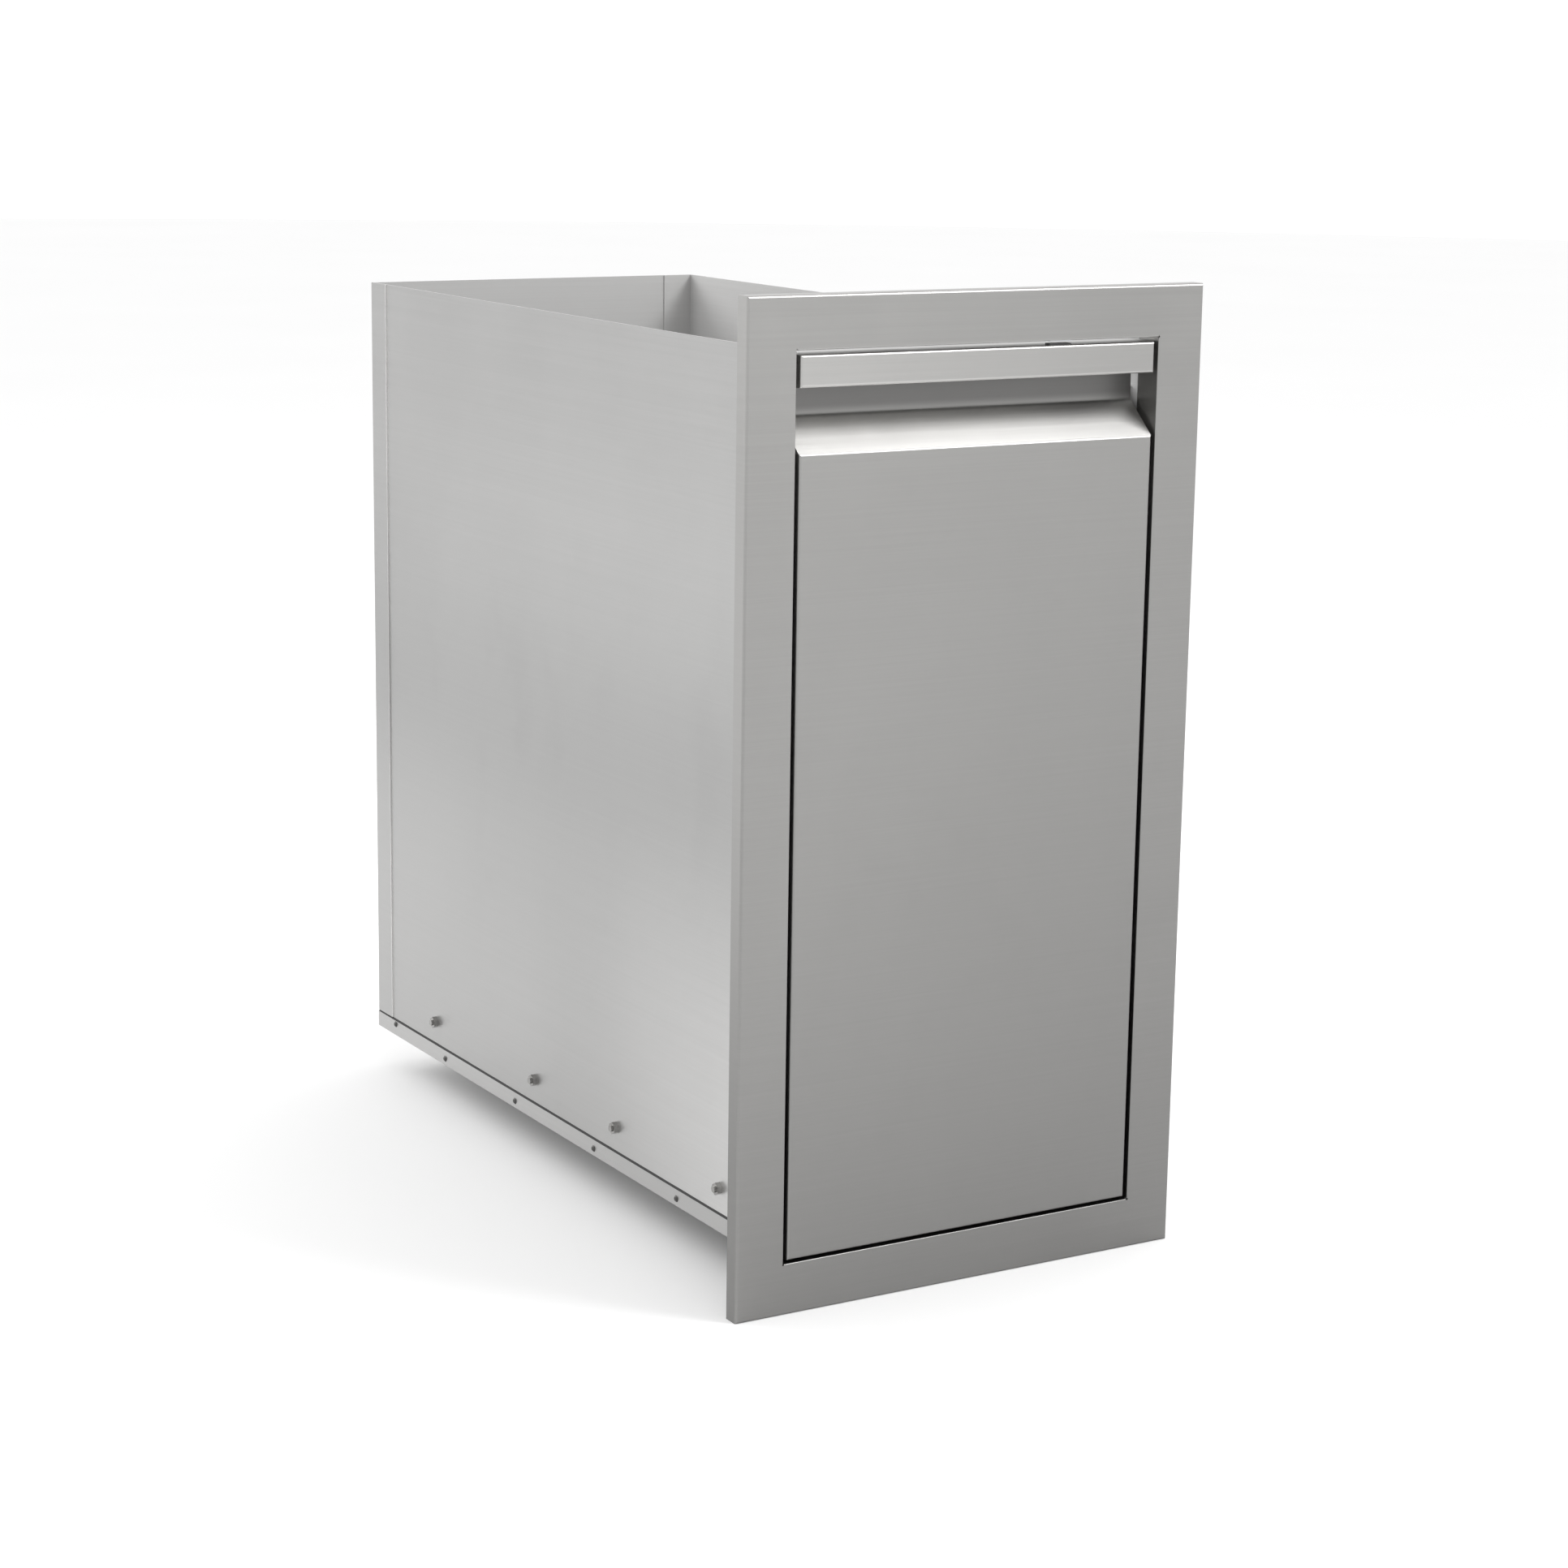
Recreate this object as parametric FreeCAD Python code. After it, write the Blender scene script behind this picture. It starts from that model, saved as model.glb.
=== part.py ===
import FreeCAD, Part
import math
import os

# Built-in pull-out trash drawer in sheet stainless steel, millimetres.
#
# X runs across, Y runs from the room into the cabinet, Z is up. The origin is at the middle of
# the front frame's bottom edge, in the plane of its rear seat, which meets the cabinet's face.
# A depth is a distance behind the face of the front frame.

V = FreeCAD.Vector
X_AXIS, Y_AXIS, Z_AXIS = V(1, 0, 0), V(0, 1, 0), V(0, 0, 1)
SIDES = {"left": -1, "right": 1}

# ---- Driving dimensions ----------------------------------------------------------------------

# Whole unit and its front frame
unit_w = 362.0
unit_h = 692.0
unit_depth = 667.0
border_side = 37.0
border_top = 35.5
border_bottom = 36.5
frame_depth = 12.7
inner_return_depth = 22.5
seat_lip_w = 8.0
frame_sheet = 1.2
frame_bend = 2.0
opening_bend = 0.8
corner_relief_r = 0.9

# Open-topped housing
housing_sheet = 1.0
panel_front_gap = 3.0
panel_top_drop = 1.0
rear_flange_w = 25.0
back_wrap_w = 27.0
pan_lip_h = 12.3
wrap_gap = 1.6

# Drawer front: a folded skin with a finger recess, a lining sheet and a handle bar
front_side_gap = 3.0
front_bottom_gap = 2.2
front_top_gap = 3.2
front_sheet = 1.0
front_bend = 2.0
recess_h = 65.0
recess_depth = 26.7
ledge_rise = 23.5
ledge_bend = 3.0
skin_lip_w = 12.0
liner_edge_gap = 1.0
bar_h = 21.3
bar_sheet = 1.2
bar_bend = 1.9
bar_hem_depth = 8.0
bar_flange_h = 15.0

# Ball-bearing slides: height and thickness of the whole slide, and the way its members nest.
# The slides stand just above the tails of the rivets in the pan's side lips.
slide_h = 45.0
slide_thick = 12.7
slide_length = 560.0
slide_front_depth = 30.0
slide_rivet_gap = 1.34
slide_sheet = 1.2
outer_flange_w = 10.5
race_outer = 4.3
race_inner = 4.8
middle_web_gap = 2.0
inner_flange_w = 7.1
slide_rib_h = 1.2
ball_play = 0.4
ball_spacing = 22.0
cage_sheet = 0.8
cage_end_margin = 4.0

# Tray, gussets and bin stop
tray_sheet = 1.0
tray_side_h = 60.0
tray_floor_gap = 9.7
gusset_sheet = 1.5
gusset_h = 280.0
gusset_length = 140.0
gusset_flange_w = 19.0
gusset_toe_h = 25.0
stop_h = 40.0
stop_foot_w = 15.0
stop_sheet = 1.2

# Bin
bin_h = 500.0
bin_rim_w = 250.0
bin_rim_length = 420.0
bin_taper = 17.0
bin_wall = 2.5
bin_corner_r = 34.0
bin_rim_lip = 7.0
bin_rim_skirt = 14.0
bin_front_gap = 8.0
bin_stop_gap = 3.0

# Closing stops and magnetic catch
bumper_w = 14.0
bumper_h = 20.0
bumper_thick = 3.0
bumper_gap = 0.3
stop_bracket_sheet = 1.2
stop_bracket_foot = 20.0
stop_top_drop = 45.0
magnet_w = 17.5
magnet_depth = 5.5
magnet_thick = 1.3
magnet_inset = 1.4
magnet_offset = 63.0
keeper_thick = 0.8
keeper_depth = 9.0

# Fasteners: shank radius, and the free play of a shank in its hole
slide_screw_r = 2.4
small_screw_r = 1.9
rivet_r = 1.6
rivet_tail = 1.35
rivet_head_r = 3.0
small_rivet_head_r = 2.6
rivet_head_h = 1.2
hole_play = 0.08
screw_head_h = 1.6
nut_across_flats = 8.0
nut_h = 3.8
mount_hole_r = 2.6
drill_reach = 5.0
slide_screw_tail = 1.6
tray_screw_tail = 5.0
liner_screw_tail = 5.0
handle_screw_tail = 3.0
inner_screw_tail = 4.0
gusset_rivet_drop = 9.0

# Places of fasteners along the unit
slide_screw_depths = [85.0, 240.0, 374.0, 554.0]
pan_rivet_depths = [145.5, 274.0, 407.0, 535.0]
pan_rivet_h = 5.5
corner_rivet_from_rear = 35.0
corner_rivet_below_lip = 2.8
rear_rivet_inset = 60.0
inner_screw_insets = [35.0, 180.0, 330.0, 520.0]
mount_hole_depth = 41.0
mount_hole_end_inset = 115.0

# ---- Derived places --------------------------------------------------------------------------

face_y = -frame_depth


def at_depth(depth):
    """The Y of a place that lies this far behind the frame's face."""
    return face_y + depth


opening_w = unit_w - 2 * border_side
opening_z0 = border_bottom
opening_z1 = unit_h - border_top
return_out_x = opening_w / 2 + frame_sheet
return_y1 = at_depth(inner_return_depth)

panel_in_x = return_out_x
panel_out_x = panel_in_x + housing_sheet
pan_top = opening_z0 - frame_sheet
pan_bottom = pan_top - housing_sheet
lip_top = pan_bottom + pan_lip_h
panel_y0 = face_y + frame_sheet + panel_front_gap
panel_top = opening_z1 - panel_top_drop
lip_rear_y = at_depth(unit_depth)
back_y1 = lip_rear_y - housing_sheet
back_y0 = back_y1 - housing_sheet
flange_y0 = back_y0 - housing_sheet

front_x = opening_w / 2 - front_side_gap
front_z0 = opening_z0 + front_bottom_gap
front_z1 = opening_z1 - front_top_gap
ledge_front_z = front_z1 - recess_h
ledge_rear_z = ledge_front_z + ledge_rise
wall_y0 = at_depth(recess_depth)
wall_y1 = wall_y0 + front_sheet
liner_y0 = wall_y1
liner_y1 = liner_y0 + front_sheet
wall_top = front_z1 - bar_sheet
bar_z0 = front_z1 - bar_h

slide_z = pan_bottom + pan_rivet_h + rivet_tail * rivet_r + slide_rivet_gap + slide_h / 2
slide_y0 = at_depth(slide_front_depth)
slide_y1 = slide_y0 + slide_length
travel = slide_length
outer_in_h = slide_h / 2 - slide_sheet
middle_out_h = outer_in_h - race_outer
middle_in_h = middle_out_h - slide_sheet
inner_out_h = middle_in_h - race_inner
middle_web_u = slide_sheet + middle_web_gap
inner_web_u = slide_thick - slide_sheet

tray_x = panel_in_x - slide_thick
tray_z0 = pan_top + tray_floor_gap
tray_floor_z = tray_z0 + tray_sheet
tray_z1 = tray_z0 + tray_side_h
tray_y0 = liner_y1
tray_y1 = slide_y1

bin_y0 = tray_y0 + tray_sheet + bin_front_gap
bin_y1 = bin_y0 + bin_rim_length
bin_stop_y = bin_y1 - bin_rim_lip - bin_taper + bin_stop_gap

# ---- Helpers ---------------------------------------------------------------------------------


def block(x0, x1, y0, y1, z0, z1):
    """A box between two corners, in either order along each axis."""
    low = V(min(x0, x1), min(y0, y1), min(z0, z1))
    size = V(abs(x1 - x0), abs(y1 - y0), abs(z1 - z0))
    return Part.makeBox(size.x, size.y, size.z, low)


def rod(centre, axis, radius, length):
    return Part.makeCylinder(radius, length, centre, axis)


def prism_x(outline, x0, x1):
    """A prism along X over an outline of (y, z) corners."""
    corners = [V(x0, y, z) for y, z in outline]
    face = Part.Face(Part.makePolygon(corners + corners[:1]))
    return face.extrude(V(x1 - x0, 0, 0))


def join(shapes):
    shapes = list(shapes)
    if len(shapes) == 1:
        return shapes[0]
    return shapes[0].fuse(shapes[1:]).removeSplitter()


def cut(shape, tools):
    tools = list(tools)
    return shape.cut(tools).removeSplitter() if tools else shape


def edges_where(shape, test):
    """The straight edges whose two ends both pass the test."""
    found = []
    for edge in shape.Edges:
        ends = [vertex.Point for vertex in edge.Vertexes]
        if len(ends) == 2 and all(test(point) for point in ends):
            found.append(edge)
    return found


def near(a, b):
    return abs(a - b) < 0.001


def tube_y(half_w, z0, z1, wall, y0, y1):
    """A rectangular tube along Y, with its wall outside half_w, z0 and z1."""
    outside = block(-half_w - wall, half_w + wall, y0, y1, z0 - wall, z1 + wall)
    return outside.cut(block(-half_w, half_w, y0, y1, z0, z1))


def across(axis):
    """Two directions square to an axis."""
    first = Z_AXIS if abs(axis.z) < 0.5 else X_AXIS
    return first, axis.cross(first)


def screw(seat, axis, shank_r, grip, head_r):
    """A pan-head screw: its head stands on the seat along the axis, its shank goes the other way."""
    head = rod(seat, axis, head_r, screw_head_h)
    slot_depth = 0.5 * screw_head_h
    for direction in across(axis):
        half = direction * (0.55 * head_r)
        wide = axis.cross(direction) * (0.13 * head_r)
        top = seat + axis * screw_head_h
        corners = [top - half - wide, top + half - wide, top + half + wide, top - half + wide]
        face = Part.Face(Part.makePolygon(corners + corners[:1]))
        head = head.cut(face.extrude(axis * -slot_depth))
    return head.fuse(rod(seat, axis * -1, shank_r, grip)).removeSplitter()


def rivet(seat, axis, grip, head_r=rivet_head_r):
    """A blind rivet: a low domed head on the seat, and an upset tail behind the grip."""
    head = Part.makeCone(head_r, 0.55 * head_r, rivet_head_h, seat, axis)
    shank = rod(seat, axis * -1, rivet_r, grip)
    tail = rod(seat - axis * grip, axis * -1, rivet_tail * rivet_r, rivet_r)
    return head.fuse([shank, tail]).removeSplitter()


def nut(seat, axis):
    """A hexagon nut standing on the seat along the axis."""
    radius = nut_across_flats / math.sqrt(3)
    first, second = across(axis)
    corners = []
    for i in range(6):
        angle = math.radians(60 * i)
        corners.append(seat + first * (radius * math.cos(angle)) + second * (radius * math.sin(angle)))
    body = Part.Face(Part.makePolygon(corners + corners[:1])).extrude(axis * nut_h)
    shoulder_h = nut_h - 0.25 * radius
    crown = Part.makeCone(1.35 * radius, 0.9 * radius, 0.45 * radius, seat + axis * shoulder_h, axis)
    foot = rod(seat, axis, 1.1 * radius, shoulder_h)
    body = body.common(foot.fuse(crown).removeSplitter())
    return body.cut(rod(seat, axis, slide_screw_r + hole_play, nut_h))


def hole(point, axis, radius, reach=drill_reach):
    """A drill centred on the point and reaching as far each way along the axis."""
    return rod(point - axis * reach, axis, radius, 2 * reach)


def group(solids):
    return Part.makeCompound(list(solids))


# ---- Front frame -----------------------------------------------------------------------------


def make_front_frame():
    half = unit_w / 2
    frame = block(-half, half, face_y, 0, 0, unit_h)
    frame = frame.cut(block(-opening_w / 2, opening_w / 2, face_y, 0, opening_z0, opening_z1))

    def on_outer_rim(p):
        return near(p.y, face_y) and (near(abs(p.x), half) or near(p.z, 0) or near(p.z, unit_h))

    def on_opening_rim(p):
        in_z = opening_z0 - 0.001 <= p.z <= opening_z1 + 0.001
        return near(p.y, face_y) and near(abs(p.x), opening_w / 2) and in_z

    frame = frame.makeFillet(frame_bend, edges_where(frame, on_outer_rim))
    frame = frame.makeFillet(opening_bend, edges_where(frame, on_opening_rim))
    return_wall = (-return_out_x, return_out_x, opening_z0 - frame_sheet, opening_z1 + frame_sheet)
    x0, x1, z0, z1 = return_wall
    hollow = block(-half + frame_sheet, half - frame_sheet, face_y + frame_sheet, -frame_sheet,
                   frame_sheet, unit_h - frame_sheet)
    mouth = block(-half + seat_lip_w, half - seat_lip_w, -frame_sheet, 0,
                  seat_lip_w, unit_h - seat_lip_w)
    kept = block(x0, x1, face_y, 0, z0, z1)
    frame = frame.cut([hollow.cut(kept), mouth.cut(kept)])
    frame = join([frame, tube_y(opening_w / 2, opening_z0, opening_z1, frame_sheet, 0, return_y1)])
    reliefs = []
    for x in (-opening_w / 2, opening_w / 2):
        for z in (opening_z0, opening_z1):
            reliefs.append(rod(V(x, face_y, z), Y_AXIS, corner_relief_r, frame_sheet))
    return cut(frame, reliefs)


# ---- Housing ---------------------------------------------------------------------------------


def slide_screw_points(side):
    return [V(side * panel_in_x, at_depth(d), slide_z) for d in slide_screw_depths]


def pan_rivet_points(side):
    """Places of the rivets in one side lip, on the lip's outer face."""
    x = side * (panel_out_x + housing_sheet)
    points = [V(x, at_depth(d), pan_bottom + pan_rivet_h) for d in pan_rivet_depths]
    corner = V(x, lip_rear_y - corner_rivet_from_rear, lip_top - corner_rivet_below_lip)
    return points + [corner]


def rear_rivet_points():
    x = panel_out_x - rear_rivet_inset
    return [V(s * x, lip_rear_y, pan_bottom + pan_rivet_h) for s in (-1, 0, 1)]


def mount_points(side):
    zs = (pan_bottom + mount_hole_end_inset, panel_top - mount_hole_end_inset)
    return [V(side * panel_out_x, at_depth(mount_hole_depth), z) for z in zs]


def stop_z():
    return panel_top - stop_top_drop


def stop_rivet_points(side):
    y = liner_y1 + bumper_gap + bumper_thick + 0.6 * stop_bracket_foot
    offset = 0.25 * bumper_h
    return [V(side * panel_out_x, y, stop_z() + dz) for dz in (-offset, offset)]


def make_side_panel(side):
    wall = block(side * panel_in_x, side * panel_out_x, panel_y0, back_y0, pan_top, panel_top)
    inner_x = side * (panel_in_x - rear_flange_w)
    flange = block(inner_x, side * panel_out_x, flange_y0, back_y0, pan_top, panel_top)
    drills = [hole(p, X_AXIS, slide_screw_r + hole_play) for p in slide_screw_points(side)]
    drills += [hole(p, X_AXIS, rivet_r + hole_play) for p in pan_rivet_points(side)]
    drills += [hole(p, X_AXIS, rivet_r + hole_play) for p in stop_rivet_points(side)]
    drills += [hole(p, X_AXIS, mount_hole_r) for p in mount_points(side)]
    return cut(join([wall, flange]), drills)


def make_back_panel():
    plate = block(-panel_out_x, panel_out_x, back_y0, back_y1, pan_top, panel_top)
    shapes = [plate]
    wrap_z0 = lip_top + wrap_gap
    for side in SIDES.values():
        outer_x = side * (panel_out_x + housing_sheet)
        shapes.append(block(side * panel_out_x, outer_x, back_y1 - back_wrap_w, back_y1,
                            wrap_z0, panel_top))
    drills = [hole(p, Y_AXIS, rivet_r + hole_play) for p in rear_rivet_points()]
    return cut(join(shapes), drills)


def make_bottom_pan():
    outer_x = panel_out_x + housing_sheet
    pan = block(-outer_x, outer_x, 0, lip_rear_y, pan_bottom, lip_top)
    well = block(-panel_out_x, panel_out_x, 0, back_y1, pan_top, lip_top)
    tongue = block(-return_out_x, return_out_x, panel_y0, 0, pan_bottom, pan_top)
    drills = []
    for side in SIDES.values():
        drills += [hole(p, X_AXIS, rivet_r + hole_play) for p in pan_rivet_points(side)]
    drills += [hole(p, Y_AXIS, rivet_r + hole_play) for p in rear_rivet_points()]
    return cut(join([pan.cut(well), tongue]), drills)


def make_pan_rivets():
    solids = []
    for side in SIDES.values():
        for point in pan_rivet_points(side):
            solids.append(rivet(point, X_AXIS * side, 2 * housing_sheet, small_rivet_head_r))
    for point in rear_rivet_points():
        solids.append(rivet(point, Y_AXIS, 2 * housing_sheet, small_rivet_head_r))
    return group(solids)


def make_slide_nuts():
    solids = []
    for side in SIDES.values():
        for p in slide_screw_points(side):
            solids.append(nut(V(side * panel_out_x, p.y, p.z), X_AXIS * side))
    return group(solids)


def make_slide_screws():
    grip = slide_sheet + housing_sheet + nut_h + slide_screw_tail
    solids = []
    for side in SIDES.values():
        for p in slide_screw_points(side):
            seat = V(side * (panel_in_x - slide_sheet), p.y, p.z)
            solids.append(screw(seat, X_AXIS * -side, slide_screw_r, grip, 1.75 * slide_screw_r))
    return group(solids)


# ---- Slides ----------------------------------------------------------------------------------


def channel(side, web_u0, web_u1, flange_u, half_h):
    """A slide member: u is the distance from the housing's wall, half_h its outside half height."""
    def x(u):
        return side * (panel_in_x - u)

    z0, z1 = slide_z - half_h, slide_z + half_h
    shapes = [block(x(web_u0), x(web_u1), slide_y0, slide_y1, z0, z1)]
    for low in (z0, z1 - slide_sheet):
        shapes.append(block(x(web_u0), x(flange_u), slide_y0, slide_y1, low, low + slide_sheet))
    return shapes


def make_outer_slide(side):
    shapes = channel(side, 0, slide_sheet, outer_flange_w, slide_h / 2)
    x0 = side * (panel_in_x - outer_flange_w)
    x1 = side * (panel_in_x - outer_flange_w + slide_sheet)
    for z in (slide_z - outer_in_h, slide_z + outer_in_h - slide_rib_h):
        shapes.append(block(x0, x1, slide_y0, slide_y1, z, z + slide_rib_h))
    drills = [hole(p, X_AXIS, slide_screw_r + hole_play) for p in slide_screw_points(side)]
    return cut(join(shapes), drills)


def make_middle_slide(side):
    shapes = channel(side, middle_web_u, middle_web_u + slide_sheet, outer_flange_w, middle_out_h)
    slot_w = 0.5 * middle_in_h
    slots = []
    for share in (0.25, 0.5, 0.75):
        y = slide_y0 + share * slide_length
        slots.append(block(0, side * panel_in_x, y - 2 * slot_w, y + 2 * slot_w,
                           slide_z - slot_w / 2, slide_z + slot_w / 2))
    return cut(join(shapes), slots)


def inner_screw_points(side):
    return [V(side * tray_x, slide_y0 + inset, slide_z) for inset in inner_screw_insets]


def make_inner_slide(side):
    flange_u = inner_web_u - inner_flange_w + slide_sheet
    shapes = channel(side, inner_web_u, slide_thick, flange_u, inner_out_h)
    drills = [hole(p, X_AXIS, small_screw_r + hole_play) for p in inner_screw_points(side)]
    return cut(join(shapes), drills)


def race(kind):
    """Middle height, ball radius and distance from the wall of one pair of ball races."""
    if kind == "outer":
        low, gap = middle_out_h, race_outer
        u = (middle_web_u + outer_flange_w) / 2
    else:
        low, gap = inner_out_h, race_inner
        u = (inner_web_u + middle_web_u + slide_sheet) / 2
    return low + gap / 2, gap / 2 - ball_play, u


def ball_ys():
    """A cage stays inside both of its members over the whole travel, so it is half as long."""
    y0 = slide_y0 + slide_length / 4 + cage_end_margin
    y1 = slide_y1 - slide_length / 4 - cage_end_margin
    count = int((y1 - y0) / ball_spacing)
    start = (y0 + y1 - (count - 1) * ball_spacing) / 2
    return y0, y1, [start + i * ball_spacing for i in range(count)]


def make_balls(side, kind):
    height, radius, u = race(kind)
    x = side * (panel_in_x - u)
    solids = []
    for y in ball_ys()[2]:
        for sign in (-1, 1):
            solids.append(Part.makeSphere(radius, V(x, y, slide_z + sign * height)))
    return group(solids)


def make_cage(side, kind):
    height, radius, u = race(kind)
    y0, y1, ys = ball_ys()
    x = side * (panel_in_x - u)
    half = cage_sheet / 2
    reach = radius + ball_play / 2
    solids = []
    for sign in (-1, 1):
        z = slide_z + sign * height
        strip = block(x - half, x + half, y0, y1, z - reach, z + reach)
        window = radius + hole_play
        solids.append(cut(strip, [hole(V(x, y, z), X_AXIS, window, 2 * half) for y in ys]))
    return group(solids)


# ---- Drawer front ----------------------------------------------------------------------------


def liner_screw_points():
    """Screws through the lining sheet into the skin's side lips, clear of the gussets."""
    x = (front_x - front_sheet + tray_x - tray_sheet) / 2
    low = front_z0 + front_sheet + 0.5 * skin_lip_w
    high = ledge_front_z - skin_lip_w
    zs = [low + share * (high - low) for share in (0.25, 0.6, 1)]
    return [V(side * x, liner_y1, z) for side in (-1, 1) for z in zs]


def handle_screw_points():
    z = wall_top - 0.5 * bar_flange_h
    return [V(share * front_x, liner_y1, z) for share in (-0.8, -0.27, 0.27, 0.8)]


def tray_screw_points():
    z = tray_floor_z + 0.65 * tray_side_h
    return [V(share * tray_x, tray_y0 + tray_sheet, z) for share in (-0.7, -0.25, 0.25, 0.7)]


def gusset_liner_points(side):
    x = side * (tray_x - tray_sheet - 0.55 * gusset_flange_w)
    y = liner_y1 + gusset_sheet
    return [V(x, y, tray_z1 + share * (gusset_h - tray_side_h)) for share in (0.2, 0.8)]


def gusset_tray_points(side):
    x = side * (tray_x - tray_sheet - gusset_sheet)
    z = tray_z1 - gusset_rivet_drop
    return [V(x, tray_y0 + share * gusset_length, z) for share in (0.3, 0.8)]


def make_drawer_front_skin():
    top_slope = [(face_y, ledge_front_z), (wall_y0, ledge_rear_z), (wall_y1, ledge_rear_z)]
    outline = [(wall_y1, front_z0), (face_y, front_z0)] + top_slope
    skin = prism_x(outline, -front_x, front_x)

    def on_face_rim(p):
        return near(p.y, face_y)

    skin = skin.makeFillet(front_bend, edges_where(skin, on_face_rim))
    slope = math.atan2(ledge_rise, wall_y0 - face_y)
    drop = front_sheet / math.cos(slope)
    gain = front_sheet * math.tan(slope)
    inner = [
        (wall_y0, front_z0 + front_sheet),
        (face_y + front_sheet, front_z0 + front_sheet),
        (face_y + front_sheet, ledge_front_z - drop + gain),
        (wall_y0, ledge_rear_z - drop),
    ]
    inner_x = front_x - front_sheet
    mouth = block(-inner_x + skin_lip_w, inner_x - skin_lip_w, wall_y0, wall_y1,
                  front_z0 + front_sheet + skin_lip_w, ledge_front_z)
    skin = skin.cut([prism_x(inner, -inner_x, inner_x), mouth])
    wall = block(-front_x, front_x, wall_y0, wall_y1, ledge_rear_z, wall_top)
    skin = join([skin, wall])
    corner = edges_where(skin, lambda p: near(p.y, wall_y0) and near(p.z, ledge_rear_z))
    skin = skin.makeFillet(ledge_bend, corner)
    drills = [hole(p, Y_AXIS, small_screw_r + hole_play) for p in liner_screw_points()]
    drills += [hole(p, Y_AXIS, small_screw_r + hole_play) for p in handle_screw_points()]
    return cut(skin, drills)


def make_handle_bar():
    rear = wall_y0
    outline = [
        (face_y, bar_z0), (face_y + bar_hem_depth, bar_z0),
        (face_y + bar_hem_depth, bar_z0 + bar_sheet), (face_y + bar_sheet, bar_z0 + bar_sheet),
        (face_y + bar_sheet, wall_top), (rear - bar_sheet, wall_top),
        (rear - bar_sheet, wall_top - bar_flange_h), (rear, wall_top - bar_flange_h),
        (rear, wall_top), (liner_y1, wall_top), (liner_y1, front_z1), (face_y, front_z1),
    ]
    shapes = [prism_x(outline, -front_x, front_x)]
    for side in SIDES.values():
        shapes.append(block(side * front_x, side * (front_x - bar_sheet), face_y, face_y + bar_hem_depth,
                            bar_z0, front_z1))
    bar = join(shapes)
    bar = bar.makeFillet(bar_bend, edges_where(bar, lambda p: near(p.y, face_y)))
    return cut(bar, [hole(p, Y_AXIS, small_screw_r + hole_play) for p in handle_screw_points()])


def make_liner():
    x = front_x - liner_edge_gap
    sheet = block(-x, x, liner_y0, liner_y1, front_z0 + liner_edge_gap, wall_top)
    drills = []
    for p in liner_screw_points() + handle_screw_points():
        drills.append(hole(p, Y_AXIS, small_screw_r + hole_play))
    drills += [hole(p, Y_AXIS, slide_screw_r + hole_play) for p in tray_screw_points()]
    for side in SIDES.values():
        drills += [hole(p, Y_AXIS, rivet_r + hole_play) for p in gusset_liner_points(side)]
    return cut(sheet, drills)


def make_rear_screws(points, grip):
    head_r = 1.9 * small_screw_r
    return group(screw(p, Y_AXIS, small_screw_r, grip, head_r) for p in points)


def make_magnet():
    x0 = magnet_offset - magnet_w / 2
    y0 = face_y + magnet_inset
    magnet = block(x0, x0 + magnet_w, y0, y0 + magnet_depth, front_z1, front_z1 + magnet_thick)
    upright = edges_where(magnet, lambda p: near(p.z, front_z1 + magnet_thick))
    return magnet.makeFillet(0.3, upright)


def make_keeper():
    x0 = magnet_offset - magnet_w / 2
    y0 = face_y + opening_bend + 0.2
    return block(x0, x0 + magnet_w, y0, y0 + keeper_depth, opening_z1 - keeper_thick, opening_z1)


# ---- Tray, gussets and bin stop --------------------------------------------------------------


def stop_foot_points():
    y = bin_stop_y + stop_sheet + 0.6 * stop_foot_w
    return [V(share * tray_x, y, tray_floor_z + stop_sheet) for share in (-0.6, 0.6)]


def make_tray():
    tray = block(-tray_x, tray_x, tray_y0, tray_y1, tray_z0, tray_z1)
    inner_x = tray_x - tray_sheet
    well = block(-inner_x, inner_x, tray_y0 + tray_sheet, tray_y1 - tray_sheet, tray_floor_z, tray_z1)
    tray = tray.cut(well)
    drills = [hole(p, Y_AXIS, slide_screw_r + hole_play) for p in tray_screw_points()]
    drills += [hole(p, Z_AXIS, rivet_r + hole_play) for p in stop_foot_points()]
    for side in SIDES.values():
        drills += [hole(p, X_AXIS, small_screw_r + hole_play) for p in inner_screw_points(side)]
        drills += [hole(p, X_AXIS, rivet_r + hole_play) for p in gusset_tray_points(side)]
    return cut(tray, drills)


def make_tray_screws():
    grip = tray_sheet + front_sheet + tray_screw_tail
    head_r = 1.75 * slide_screw_r
    return group(screw(p, Y_AXIS, slide_screw_r, grip, head_r) for p in tray_screw_points())


def make_inner_slide_screws():
    grip = slide_sheet + tray_sheet + inner_screw_tail
    solids = []
    for side in SIDES.values():
        for p in inner_screw_points(side):
            seat = V(side * (tray_x + slide_sheet), p.y, p.z)
            solids.append(screw(seat, X_AXIS * side, small_screw_r, grip, 1.9 * small_screw_r))
    return group(solids)


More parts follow.
